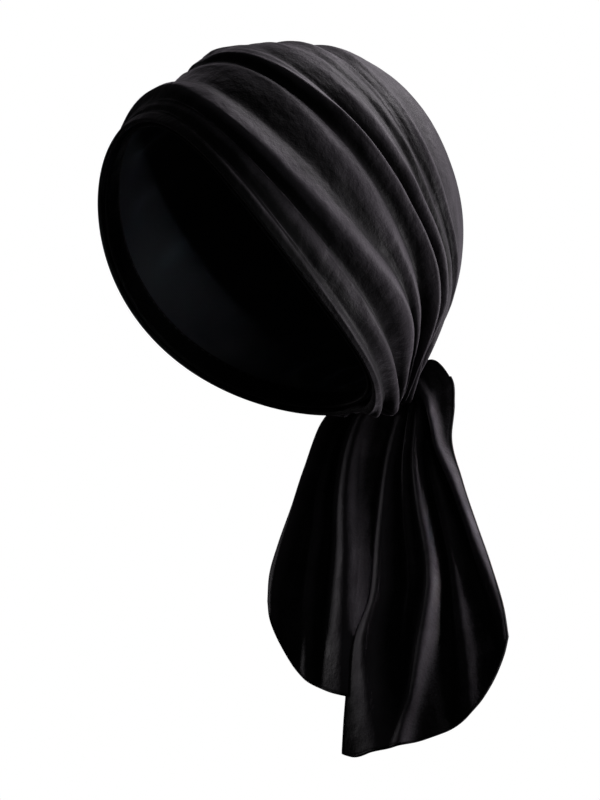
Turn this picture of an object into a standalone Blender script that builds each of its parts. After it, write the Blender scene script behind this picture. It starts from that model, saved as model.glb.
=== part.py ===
"""A turban headwrap: a pleated velvet cap, gathered and tied at the nape, with two loose tails.

Metres, +Z up. The wearer faces -Y and the wearer's left is +X. The origin is the middle of the head hole.
The cap is drawn in its own tilted axes: P runs along the hole from the nape to the forehead, and Q runs
from the hole to the top of the dome. A loop of the cap starts and ends at the nape, and the loops are
nested from the rim (rise 0) to the point above the gather where they close (rise 1).
"""

import math
from collections import namedtuple

import bmesh
import bpy
import numpy as np

# The cap
CAP_WIDTH = 0.163
CAP_LENGTH = 0.207
CAP_DEPTH = 0.143
WIDEST_RISE = 0.031
CAP_TILT = math.radians(45)
RIM_DIP = 0.025
WALL = 0.0022

# The gather at the nape
GATHER_SPAN = math.radians(29)
GATHER_RISE = 0.008
PLEAT_OFFSET = 0.013
PLEAT_SPREAD = 0.006
PLEAT_FLANK = 0.020

# The inner layers
LINING_WALL = 0.0011
LINING_EDGE = 0.004
BAND_WALL = 0.0012
BAND_WIDTH = 0.0125

# The knot
KNOT_WIDTH = 0.019
KNOT_DEPTH = 0.017
KNOT_LENGTH = 0.030
KNOT_RISE = 0.030
KNOT_NEST = 0.009

# The tails
TAIL_WALL = 0.0016
TAIL_WIDTH = 0.090
TAIL_LEFT_LENGTH = 0.197
TAIL_RIGHT_LENGTH = 0.165
TAIL_LEFT_TURN = math.radians(30)
TAIL_RIGHT_TURN = math.radians(30)

GAP = 0.0003
LAYER_GAP = 0.0006
FOLD_GAP = 0.0008

# Places along half a loop, from the middle of the forehead (0) toward the nape (1)
STATIONS = (0.0, 0.25, 0.50, 0.70, 0.82, 0.93)

# The lines of the folded cap from the rim to the back, each a crest or the valley behind it: its rise at
# the stations, its height there as a share of FOLD_HEIGHT, and how sharp it is
FOLD_HEIGHT = 0.006
FOLD_SINK = 0.0032
FOLD_END = 0.25
Line = namedtuple("Line", "name rise height sharp")
LINES = (
    Line("rim", (0, 0, 0, 0, 0, 0), (0, 0, 0, 0, 0, 0), 0.3),
    Line("brow crest", (0.014, 0.014, 0.013, 0.011, 0.014, 0.024), (0.05, 0.15, 0.25, 0.30, 0.35, 0.30), 0.0),
    Line("brow valley", (0.022, 0.023, 0.026, 0.030, 0.038, 0.060), (0.05, 0.08, 0.10, 0.10, 0.10, 0.05), 0.6),
    Line("pleat crest", (0.034, 0.043, 0.058, 0.077, 0.100, 0.120), (0.20, 0.35, 0.50, 0.55, 0.50, 0.60), 0.0),
    Line("pleat valley", (0.046, 0.052, 0.074, 0.105, 0.130, 0.155), (0.25, 0.30, 0.30, 0.20, 0.15, 0.05), 0.3),
    Line("roll crest", (0.075, 0.069, 0.110, 0.187, 0.195, 0.178), (0.50, 1.00, 1.00, 0.90, 0.60, 0.45), 0.0),
    Line("roll valley", (0.100, 0.110, 0.158, 0.212, 0.208, 0.188), (0.00, 0.20, 0.55, 0.60, 0.35, 0.30), 0.3),
    Line("middle crest", (0.135, 0.170, 0.213, 0.237, 0.220, 0.196), (0.10, 0.50, 0.80, 0.80, 0.55, 0.42), 0.0),
    Line("middle valley", (0.158, 0.195, 0.250, 0.285, 0.232, 0.204), (0.00, 0.20, 0.55, 0.35, 0.20, 0.30), 0.0),
    Line("crisp crest", (0.172, 0.212, 0.290, 0.328, 0.250, 0.214), (0.35, 0.85, 1.05, 1.00, 0.75, 0.50), 0.3),
    Line("crisp valley", (0.195, 0.237, 0.315, 0.362, 0.265, 0.224), (0.55, 0.40, 0.10, 0.00, 0.05, 0.15), 0.6),
    Line("third crest", (0.240, 0.275, 0.345, 0.400, 0.290, 0.262), (0.20, 0.60, 0.75, 0.80, 0.65, 0.65), 0.0),
    Line("third valley", (0.285, 0.310, 0.385, 0.450, 0.325, 0.300), (0.15, 0.40, 0.25, 0.10, 0.05, 0.10), 0.4),
    Line("lower crest", (0.310, 0.345, 0.415, 0.520, 0.390, 0.330), (0.30, 0.30, 0.35, 0.55, 0.60, 0.45), 0.0),
    Line("lower valley", (0.335, 0.365, 0.432, 0.560, 0.440, 0.370), (0.05, 0.20, 0.35, 0.15, 0.10, 0.10), 0.2),
    Line("fourth crest", (0.370, 0.395, 0.462, 0.600, 0.530, 0.440), (0.20, 0.40, 0.65, 0.40, 0.30, 0.30), 0.0),
    Line("fourth valley", (0.430, 0.445, 0.505, 0.650, 0.600, 0.520), (0.40, 0.35, 0.30, 0.20, 0.15, 0.10), 0.0),
    Line("fifth crest", (0.490, 0.500, 0.550, 0.700, 0.680, 0.620), (0.40, 0.40, 0.40, 0.20, 0.15, 0.20), 0.0),
    Line("back", (0.620, 0.620, 0.640, 0.770, 0.770, 0.750), (0.15, 0.15, 0.15, 0.10, 0.10, 0.10), 0.0),
    Line("top of the gather", (1, 1, 1, 1, 1, 1), (0.10, 0.10, 0.10, 0.10, 0.10, 0.10), 0.0),
)
INNER_FOLLOW = 0.4

# Each soft crease of the lining: the share of the way round from the nape, its rise, height, widths
CREASE_HEIGHT = 0.003
Crease = namedtuple("Crease", "around rise height width_around width_rise")
CREASES = (
    Crease(-0.20, 0.16, 0.8, 0.030, 0.22),
    Crease(-0.36, 0.30, 1.0, 0.025, 0.30),
    Crease(-0.58, 0.20, 0.7, 0.035, 0.20),
    Crease(0.30, 0.25, 0.8, 0.030, 0.25),
    Crease(0.62, 0.20, 0.6, 0.040, 0.20),
)

# The free edge of a tail from its tip to its outer corner: the place across the tail, and the shares of
# the way from the tip to the corner, sideways, and from the corner down to the tip
TAIL_EDGE_ACROSS = (0, 0.06, 0.17, 0.31, 0.45, 0.59, 0.69, 0.79, 0.88, 0.94, 1)
TAIL_EDGE_SIDE = (0, 0.07, 0.20, 0.36, 0.52, 0.68, 0.78, 0.87, 0.94, 0.98, 1)
TAIL_EDGE_DROP = (1, 1.03, 1.00, 0.96, 0.90, 0.80, 0.68, 0.50, 0.31, 0.15, 0)

# The sections of each tail, from the knot down to its free corners: the share of the way down, then its
# inner and its outer edge, sideways as a share of TAIL_WIDTH and below the knot as a share of its length
Section = namedtuple("Section", "down inner_side inner_drop outer_side outer_drop")
LEFT_SECTIONS = (
    Section(0.00, -0.03, 0.000, 0.10, -0.060),
    Section(0.06, 0.04, 0.030, 0.27, -0.085),
    Section(0.12, 0.01, 0.080, 0.38, -0.032),
    Section(0.20, -0.04, 0.143, 0.40, 0.042),
    Section(0.30, -0.08, 0.228, 0.38, 0.138),
    Section(0.45, -0.13, 0.400, 0.45, 0.260),
    Section(0.60, -0.16, 0.565, 0.55, 0.393),
    Section(0.75, -0.28, 0.694, 0.64, 0.507),
    Section(0.90, -0.34, 0.876, 0.71, 0.619),
    Section(1.00, -0.36, 0.987, 0.73, 0.694),
)
RIGHT_SECTIONS = (
    Section(0.00, -0.06, 0.000, 0.08, -0.045),
    Section(0.06, -0.07, 0.010, 0.15, -0.040),
    Section(0.12, -0.02, 0.040, 0.30, -0.021),
    Section(0.20, 0.01, 0.120, 0.45, 0.013),
    Section(0.30, 0.03, 0.240, 0.56, 0.066),
    Section(0.45, 0.05, 0.390, 0.68, 0.215),
    Section(0.60, 0.07, 0.540, 0.77, 0.340),
    Section(0.75, 0.09, 0.700, 0.87, 0.473),
    Section(0.90, 0.10, 0.880, 0.93, 0.579),
    Section(1.00, 0.11, 1.000, 0.94, 0.659),
)

# Each fold that fans down a tail: its place across, and its height as a share of FAN_HEIGHT, at the knot,
# at a third and two thirds of the way down and at the free edge, and its width across
FAN_DOWN = (0.0, 0.35, 0.70, 1.0)
FAN_HEIGHT = 0.005
Fan = namedtuple("Fan", "across height width")
LEFT_FANS = (
    Fan((0.20, 0.13, 0.12, 0.26), (0.0, 0.8, 1.0, 0.3), 0.08),
    Fan((0.50, 0.52, 0.52, 0.42), (0.0, 0.8, 1.2, 0.6), 0.10),
    Fan((0.80, 0.82, 0.86, 0.92), (-0.4, -0.8, -0.4, 0.0), 0.05),
    Fan((0.93, 0.93, 0.95, 1.00), (0.3, 0.9, 0.7, 0.0), 0.07),
)
RIGHT_FANS = (
    Fan((0.62, 0.50, 0.33, 0.30), (0.2, 1.1, 1.1, 0.5), 0.13),
    Fan((0.96, 0.95, 0.93, 0.92), (0.3, 0.8, 0.6, 0.2), 0.06),
)
TAIL_WAVE = 0.0020
TAIL_WAVE_COUNT = 1.5

# Each tail: its side of the wearer, its length, how its width is turned from +X toward +Y, how far it
# stands behind the middle of the knot, and its shape
Tail = namedtuple("Tail", "name side length turn set_back sections fans")
TAILS = (
    Tail("tail_left", 1, TAIL_LEFT_LENGTH, TAIL_LEFT_TURN, -0.003, LEFT_SECTIONS, LEFT_FANS),
    Tail("tail_right", -1, TAIL_RIGHT_LENGTH, TAIL_RIGHT_TURN, 0.007, RIGHT_SECTIONS, RIGHT_FANS),
)

CAP_COLUMNS = 38
FOLD_STEPS = 2
BACK_STEPS = 7
LINING_EVERY = 3
BAND_ROWS = 3
TAIL_COLUMNS = 19
TAIL_ROWS = 13


def tidy_scene():
    """Empty the scene."""
    for item in list(bpy.data.objects):
        bpy.data.objects.remove(item, do_unlink=True)


def make_collection(name):
    """Return a new collection in the scene."""
    group = bpy.data.collections.new(name)
    bpy.context.scene.collection.children.link(group)
    return group


def cloth(name, color, roughness):
    """Return a cloth material."""
    material = bpy.data.materials.new(name)
    material.use_nodes = True
    shader = material.node_tree.nodes["Principled BSDF"]
    shader.inputs["Base Color"].default_value = (*color, 1.0)
    shader.inputs["Roughness"].default_value = roughness
    shader.inputs["Metallic"].default_value = 0.0
    shader.inputs["Sheen Weight"].default_value = 0.5
    return material


def add_object(name, vertices, faces, group, material=None):
    """Return a new smooth mesh object made from vertices and faces."""
    mesh = bpy.data.meshes.new(name)
    mesh.from_pydata([tuple(map(float, v)) for v in vertices], [], faces)
    mesh.shade_smooth()
    item = bpy.data.objects.new(name, mesh)
    group.objects.link(item)
    if material:
        mesh.materials.append(material)
    return item


def add_solidify(item, thickness, offset=-1):
    """Give an open sheet its thickness, behind its outer side or on both sides."""
    shell = item.modifiers.new("Wall", "SOLIDIFY")
    shell.thickness = thickness
    shell.offset = offset
    shell.use_even_offset = True
    shell.use_quality_normals = True


def cut(item, cutter):
    """Cut an object with another."""
    trim = item.modifiers.new("Trim", "BOOLEAN")
    trim.operation = "DIFFERENCE"
    trim.object = cutter


def mark_cutter(item):
    """Keep a cutter out of the model."""
    item.hide_render = True
    item.display_type = "WIRE"


def curve_through(places, values, at):
    """Return the smooth curve through a row of values, read at the given places."""
    places = np.asarray(places, float)
    values = np.asarray(values, float)
    slopes = np.gradient(values, places)
    at = np.clip(at, places[0], places[-1])
    left = np.clip(np.searchsorted(places, at, side="right") - 1, 0, len(places) - 2)
    step = places[left + 1] - places[left]
    t = (at - places[left]) / step
    start = values[left] * (2 * t**3 - 3 * t**2 + 1) + slopes[left] * step * (t**3 - 2 * t**2 + t)
    end = values[left + 1] * (3 * t**2 - 2 * t**3) + slopes[left + 1] * step * (t**3 - t**2)
    return start + end


def ease(share):
    """Return a soft step from 0 to 1."""
    share = np.clip(share, 0, 1)
    return share * share * (3 - 2 * share)


def fold_rows(around):
    """Return the cap's rows, which follow its fold lines: their rise and their height over the dome."""
    back = 1 - np.abs(around)
    rises = [curve_through(STATIONS, line.rise, back) for line in LINES]
    heights = [FOLD_HEIGHT * curve_through(STATIONS, line.height, back) for line in LINES]
    ends = 1 - (1 - FOLD_END) * ease((back - STATIONS[-1]) / (1 - STATIONS[-1]))
    row_rise = []
    row_height = []
    for k in range(len(LINES) - 1):
        steps = BACK_STEPS if k == len(LINES) - 2 else FOLD_STEPS
        climb = heights[k + 1] - heights[k]
        for t in np.arange(steps) / steps:
            start = LINES[k].sharp * 2 * climb * (t**3 - 2 * t**2 + t)
            end = LINES[k + 1].sharp * 2 * climb * (t**3 - t**2)
            row_rise.append(rises[k] + (rises[k + 1] - rises[k]) * t)
            row_height.append(heights[k] + climb * (3 * t**2 - 2 * t**3) + start + end)
    return np.array(row_rise), np.array(row_height) * ends


def dome(around, rise):
    """Return points of the plain dome and its outward directions, in the cap's axes (X, P, Q).

    around runs from -1 to 1 with the nape at 0 and the forehead at both ends; +X is its positive side.
    """
    around, rise = np.broadcast_arrays(np.asarray(around, float), np.asarray(rise, float))
    half_width = CAP_WIDTH / 2
    half_length = CAP_LENGTH / 2
    height = CAP_DEPTH - WIDEST_RISE
    rim_angle = math.asin(WIDEST_RISE / height)
    soft = 0.02
    eased = ((rise + soft) ** 0.6 - soft**0.6) / ((1 + soft) ** 0.6 - soft**0.6)
    nape = math.pi + rim_angle - GATHER_SPAN * eased
    front = -rim_angle + (math.pi + 2 * rim_angle - GATHER_SPAN) * rise
    middle_p = (np.cos(nape) + np.cos(front)) / 2
    middle_q = (np.sin(nape) + np.sin(front)) / 2
    reach_p = (np.cos(front) - np.cos(nape)) / 2
    reach_q = (np.sin(front) - np.sin(nape)) / 2
    radius = np.sqrt(np.clip(1 - middle_p**2 - middle_q**2, 0, None))
    turn = math.pi * (1 - np.abs(around))
    x = radius * np.sin(turn) * np.sign(around)
    p = middle_p + reach_p * np.cos(turn)
    q = middle_q + reach_q * np.cos(turn)
    outward = np.stack([x / half_width, p / half_length, q / height], -1)
    outward /= np.linalg.norm(outward, axis=-1, keepdims=True)
    dip = RIM_DIP * np.sin(turn) ** 2 * (1 - rise) ** 3
    points = np.stack([x * half_width, p * half_length, WIDEST_RISE + q * height - dip], -1)
    sink = FOLD_SINK * ease(rise / 0.07) * (1 - ease((rise - 0.20) / 0.22))
    return points - outward * sink[..., None], outward


def gather_height(points, rise):
    """Return how far the pleat ends at the nape stand out of the plain dome."""
    side = np.abs(points[..., 0])
    spread = np.where(side < PLEAT_OFFSET, PLEAT_SPREAD, PLEAT_FLANK)
    ends = np.exp(-(((side - PLEAT_OFFSET) / spread) ** 2))
    behind = np.where(points[..., 1] < 0, 1.0, 0.0)
    fade = np.exp(-((np.clip(rise - 0.22, 0, None) / 0.16) ** 2))
    above_rim = ease((rise - 0.03) / 0.22)
    start = np.where(points[..., 0] < 0, 0.7 * above_rim, 0.5 + 0.5 * ease(rise / 0.06))
    return GATHER_RISE * ends * start * behind * fade


def to_world(points):
    """Turn points from the cap's axes (X, P, Q) to the world's."""
    x, p, q = points[..., 0], points[..., 1], points[..., 2]
    y = q * math.sin(CAP_TILT) - p * math.cos(CAP_TILT)
    z = q * math.cos(CAP_TILT) + p * math.sin(CAP_TILT)
    return np.stack([x, y, z], -1)


def columns(count):
    """Return places round a loop, closer together near the nape."""
    even = np.linspace(-1, 1, count, endpoint=False) + 1 / count
    return np.sign(even) * np.abs(even) ** 1.4


def loop_faces(rows, count, first=0, flip=False):
    """Return the faces between closed rows of points."""
    faces = []
    for row in range(rows - 1):
        for column in range(count):
            after = (column + 1) % count
            low = first + row * count
            face = (low + column, low + count + column, low + count + after, low + after)
            faces.append(face[::-1] if flip else face)
    return faces


def fan_faces(start, count, tip, flip=False):
    """Return the faces from a closed row of points to one point."""
    faces = []
    for column in range(count):
        face = (start + (column + 1) % count, start + column, tip)
        faces.append(face[::-1] if flip else face)
    return faces


def cap_surface(follow, depth):
    """Return the rows of the closed cap surface, its top point last, and how many rows there are."""
    around = columns(CAP_COLUMNS)
    rise, height = fold_rows(around)
    points, outward = dome(np.broadcast_to(around, rise.shape), rise)
    out = follow * (height + gather_height(points, rise)) - depth
    grid = to_world(points + outward * out[..., None]).reshape(-1, 3)
    tip, tip_out = dome(np.array([1.0]), np.array([1.0]))
    tip_height = follow * FOLD_HEIGHT * LINES[-1].height[0] - depth
    return np.concatenate([grid, to_world(tip + tip_out * tip_height)]), len(rise)


def build_crown(group, material):
    """Model the pleated cap: its outer side has the whole folds, its inner side only a part of them."""
    count = CAP_COLUMNS
    outer, rows = cap_surface(1.0, 0.0)
    inner, _ = cap_surface(INNER_FOLLOW, WALL)
    start = len(outer)
    faces = loop_faces(rows, count) + fan_faces((rows - 1) * count, count, start - 1)
    faces += loop_faces(rows, count, start, True)
    faces += fan_faces(start + (rows - 1) * count, count, 2 * start - 1, True)
    for column in range(count):
        after = (column + 1) % count
        faces.append((column, after, start + after, start + column))
    return add_object("crown", np.concatenate([outer, inner]), faces, group, material)


def build_crown_cutter(group):
    """Model the space that the cap fills, one gap larger, to cut what lies against it."""
    count = CAP_COLUMNS
    grid, rows = cap_surface(1.0, -FOLD_GAP)
    vertices = np.concatenate([grid, [grid[:count].mean(axis=0)]])
    faces = loop_faces(rows, count) + fan_faces((rows - 1) * count, count, len(grid) - 1)
    faces += fan_faces(0, count, len(grid), True)
    cutter = add_object("crown_space", vertices, faces, group)
    mark_cutter(cutter)
    return cutter


def rise_at(around, length):
    """Return the rise that lies a given length above the rim, for each place round the cap."""
    samples = np.linspace(0, 0.6, 121)
    places, rise = np.meshgrid(around, samples)
    points, _ = dome(places, rise)
    steps = np.linalg.norm(np.diff(points, axis=0), axis=-1)
    lengths = np.concatenate([np.zeros((1, len(around))), np.cumsum(steps, axis=0)])
    return np.array([np.interp(length, lengths[:, k], samples) for k in range(len(around))])


def crease_height(around, rise):
    """Return how far the lining's soft creases stand into the cap."""
    total = np.zeros(np.broadcast(around, rise).shape)
    for crease in CREASES:
        across = (around - crease.around) / crease.width_around
        along = (rise - crease.rise) / crease.width_rise
        total = total + CREASE_HEIGHT * crease.height * np.exp(-(across**2) - along**2)
    return total


def build_lining(group, material):
    """Model the thin inner cap."""
    around = columns(CAP_COLUMNS)
    edge = rise_at(around, LINING_EDGE)
    rows, _ = fold_rows(around)
    rise = edge + (1 - edge) * rows[::LINING_EVERY]
    places = np.broadcast_to(around, rise.shape)
    depth = WALL + LAYER_GAP
    band_end = rise_at(around, BAND_WIDTH)
    past_band = np.clip((rise - band_end) / 0.05, 0, 1)
    points, outward = dome(places, rise)
    inward = depth + crease_height(places, rise) * past_band
    grid = to_world(points - outward * inward[..., None]).reshape(-1, 3)
    tip, tip_out = dome(np.array([1.0]), np.array([1.0]))
    vertices = np.concatenate([grid, to_world(tip - tip_out * depth)])
    last = (len(rise) - 1) * CAP_COLUMNS
    faces = loop_faces(len(rise), CAP_COLUMNS) + fan_faces(last, CAP_COLUMNS, len(grid))
    lining = add_object("lining", vertices, faces, group, material)
    add_solidify(lining, LINING_WALL)
    return lining


def build_hem_band(group, material):
    """Model the flat band sewn inside the rim, over the edge of the lining."""
    around = columns(CAP_COLUMNS)
    end = rise_at(around, BAND_WIDTH)
    rise = np.linspace(0, 1, BAND_ROWS)[:, None] * end
    points, outward = dome(np.broadcast_to(around, rise.shape), rise)
    depth = WALL + LAYER_GAP + LINING_WALL + LAYER_GAP
    vertices = to_world(points - outward * depth).reshape(-1, 3)
    band = add_object("hem_band", vertices, loop_faces(BAND_ROWS, CAP_COLUMNS), group, material)
    add_solidify(band, BAND_WALL)
    return band


def knot_centre():
    """Return the middle of the knot in the cap's axes (X, P, Q)."""
    return np.array([0.0, -(CAP_LENGTH / 2 + GATHER_RISE + KNOT_DEPTH / 2 - KNOT_NEST), KNOT_RISE])


def build_knot(name, group, material, swell):
    """Model the tied root of the tails, a rounded lump with a dented middle that lies along the gather."""
    mesh = bmesh.new()
    bmesh.ops.create_uvsphere(mesh, u_segments=16, v_segments=9, radius=0.5)
    centre = knot_centre()
    for vertex in mesh.verts:
        x, p, q = vertex.co
        waist = 1 - 0.14 * math.exp(-((q / 0.16) ** 2))
        out = np.array([x * KNOT_WIDTH * waist, p * KNOT_DEPTH * waist, q * KNOT_LENGTH])
        out *= 1 + 2 * swell / KNOT_DEPTH
        vertex.co = to_world(centre + out)
    bmesh.ops.recalc_face_normals(mesh, faces=mesh.faces)
    data = bpy.data.meshes.new(name)
    mesh.to_mesh(data)
    mesh.free()
    data.shade_smooth()
    knot = bpy.data.objects.new(name, data)
    group.objects.link(knot)
    if material:
        data.materials.append(material)
    return knot


def fan_height(tail, across, down):
    """Return how far the folds that fan down a tail stand out of it, toward its front."""
    total = np.zeros(np.broadcast(across, down).shape)
    for fan in tail.fans:
        middle = curve_through(FAN_DOWN, fan.across, down)
        height = FAN_HEIGHT * curve_through(FAN_DOWN, fan.height, down)
        total = total + height * np.exp(-(((across - middle) / fan.width) ** 2))
    return total * ease(down / 0.2)


def tail_points(tail, across, down):
    """Return the middle surface of a tail, a sheet that fans out of the knot."""
    root = to_world(knot_centre()) + np.array([0.0, tail.set_back, 0.0])
    stations = [section.down for section in tail.sections]
    inner_side = TAIL_WIDTH * curve_through(stations, [row.inner_side for row in tail.sections], down)
    inner_drop = tail.length * curve_through(stations, [row.inner_drop for row in tail.sections], down)
    outer_side = TAIL_WIDTH * curve_through(stations, [row.outer_side for row in tail.sections], down)
    outer_drop = tail.length * curve_through(stations, [row.outer_drop for row in tail.sections], down)
    edge_side = curve_through(TAIL_EDGE_ACROSS, TAIL_EDGE_SIDE, across)
    side_share = across + (edge_side - across) * ease(down / 0.6)
    edge_share = curve_through(TAIL_EDGE_ACROSS, TAIL_EDGE_DROP, across)
    drop_share = 1 - side_share + (edge_share - 1 + side_share) * down**1.5
    out = inner_side + (outer_side - inner_side) * side_share
    drop = outer_drop + (inner_drop - outer_drop) * drop_share
    wave = TAIL_WAVE * np.cos(2 * math.pi * TAIL_WAVE_COUNT * across) * down
    wave = wave - fan_height(tail, across, down)
    heading = tail.side * np.array([math.cos(tail.turn), math.sin(tail.turn), 0.0])
    facing = np.array([-math.sin(tail.turn), math.cos(tail.turn), 0.0])
    points = root + out[..., None] * heading + wave[..., None] * facing
    points[..., 2] -= drop
    return points


def build_tail(tail, group, material):
    """Model one tail."""
    across, down = np.meshgrid(np.linspace(0, 1, TAIL_COLUMNS), np.linspace(0, 1, TAIL_ROWS))
    vertices = tail_points(tail, across, down).reshape(-1, 3)
    faces = []
    for row in range(TAIL_ROWS - 1):
        for column in range(TAIL_COLUMNS - 1):
            low = row * TAIL_COLUMNS + column
            face = (low, low + 1, low + 1 + TAIL_COLUMNS, low + TAIL_COLUMNS)
            faces.append(face[:: tail.side])
    item = add_object(tail.name, vertices, faces, group, material)
    add_solidify(item, TAIL_WALL, 0)
    return item


def main():
    """Build the headwrap."""
    tidy_scene()
    parts = make_collection("turban_headwrap")
    cutters = make_collection("cutters")
    velvet = (0.006, 0.006, 0.007)
    build_crown(parts, cloth("crown_velvet", velvet, 0.6))
    build_lining(parts, cloth("lining_cloth", (0.010, 0.010, 0.012), 0.7))
    build_hem_band(parts, cloth("hem_velvet", (0.004, 0.004, 0.005), 0.7))
    knot = build_knot("knot", parts, cloth("knot_velvet", velvet, 0.6), 0.0)
    crown_space = build_crown_cutter(cutters)
    cut(knot, crown_space)
    knot_space = build_knot("knot_space", cutters, None, GAP)
    mark_cutter(knot_space)
    for tail in TAILS:
        item = build_tail(tail, parts, cloth(tail.name + "_velvet", velvet, 0.6))
        cut(item, knot_space)
        cut(item, crown_space)


main()
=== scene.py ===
"""A velvet turban headwrap: a pleated cap, gathered and tied at the nape, with two loose tails.

Metres, +Z up. The wearer faces -Y and the wearer's left is +X. The origin is the middle of the head hole.
The cap is drawn in its own tilted axes: P runs along the hole from the nape to the forehead, and Q runs
from the hole to the top of the dome. A loop of the cap starts and ends at the nape, and the loops are
nested from the rim (rise 0) to the point above the gather where they close (rise 1).
"""

import math
from collections import namedtuple

import bmesh
import bpy
import numpy as np
from mathutils import Matrix, Vector


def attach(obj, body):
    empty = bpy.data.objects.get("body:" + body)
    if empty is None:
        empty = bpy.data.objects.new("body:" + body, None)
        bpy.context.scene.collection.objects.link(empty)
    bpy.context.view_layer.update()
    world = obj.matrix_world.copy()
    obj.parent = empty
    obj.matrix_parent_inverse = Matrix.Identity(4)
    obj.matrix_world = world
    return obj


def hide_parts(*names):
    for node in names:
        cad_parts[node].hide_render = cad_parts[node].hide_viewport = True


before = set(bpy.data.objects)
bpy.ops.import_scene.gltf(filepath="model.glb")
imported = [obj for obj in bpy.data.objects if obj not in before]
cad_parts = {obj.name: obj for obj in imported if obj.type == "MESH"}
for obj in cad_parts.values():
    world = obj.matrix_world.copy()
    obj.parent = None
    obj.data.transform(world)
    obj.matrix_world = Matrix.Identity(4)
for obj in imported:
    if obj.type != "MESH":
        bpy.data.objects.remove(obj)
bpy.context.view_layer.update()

bl_info = {
    "name": "Turban Headwrap",
    "version": (1, 0, 0),
    "blender": (4, 5, 0),
    "location": "View3D > Sidebar > Headwrap",
    "description": "Builds a pleated velvet headwrap with two tied tails",
    "category": "Add Mesh",
}

# The cap
CAP_WIDTH = 0.163
CAP_LENGTH = 0.207
CAP_DEPTH = 0.143
WIDEST_RISE = 0.031
CAP_TILT = math.radians(45)
RIM_DIP = 0.025
WALL = 0.0022

# The gather at the nape
GATHER_SPAN = math.radians(29)
GATHER_RISE = 0.008
PLEAT_OFFSET = 0.013
PLEAT_SPREAD = 0.006
PLEAT_FLANK = 0.020

# The rounded ends of the folds beside the knot: their place and spread as shares of half a loop, and how
# far the end of each crest stands out, by its place in LINES
LIP_PLACE = 0.045
LIP_SPREAD = 0.032
LIP_LINES = (1, 3, 5, 7, 9, 11, 13, 15, 17)
LIP_SHARES = (0.8, 1.0, 0.5, 0.3, 0.8, 1.0, 0.7, 0.3, 0.0)

# The ends of the pleats beside the knot: where they fade, how they start above the rim on the wearer's
# right, and how they start on the left
PLEAT_TOP = 0.22
PLEAT_FADE = 0.16
PLEAT_RIGHT_SHARE = 0.7
PLEAT_RIGHT_START = 0.03
PLEAT_RIGHT_CLIMB = 0.22
PLEAT_LEFT_SHARE = 0.5
PLEAT_LEFT_CLIMB = 0.06

# The plain dome: how fast the nape end of its loops climbs from the rim, and the rises over which the
# dome sinks under its folds and comes back
LOOP_SOFT = 0.02
LOOP_POWER = 0.6
SINK_CLIMB = 0.07
SINK_TOP = 0.20
SINK_FADE = 0.22

# The inner layers. The lining's ripples and creases start past the hem band, over a short rise, and the
# stitches lie just inside the band's upper edge
LINING_WALL = 0.0011
LINING_EDGE = 0.004
BAND_WALL = 0.0012
BAND_WIDTH = 0.0125
LAYER_GAP = 0.0006
LINING_RIPPLE = 0.0005
LINING_START = 0.05
BAND_SWELL = 0.0004
STITCH_INSET = 0.0012

# The knot
KNOT_WIDTH = 0.019
KNOT_DEPTH = 0.017
KNOT_LENGTH = 0.030
KNOT_RISE = 0.030
KNOT_NEST = 0.009
KNOT_WAIST = 0.14
KNOT_WAIST_SPREAD = 0.16
KNOT_WINDS = 3
KNOT_TWIST = 16
KNOT_WIND_HEIGHT = 0.09

# The tails
TAIL_WALL = 0.0016
TAIL_WIDTH = 0.090
TAIL_LEFT_LENGTH = 0.197
TAIL_RIGHT_LENGTH = 0.165
TAIL_LEFT_TURN = math.radians(30)
TAIL_RIGHT_TURN = math.radians(30)

# Places along half a loop, from the middle of the forehead (0) toward the nape (1)
STATIONS = (0.0, 0.25, 0.50, 0.70, 0.82, 0.93)

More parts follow.
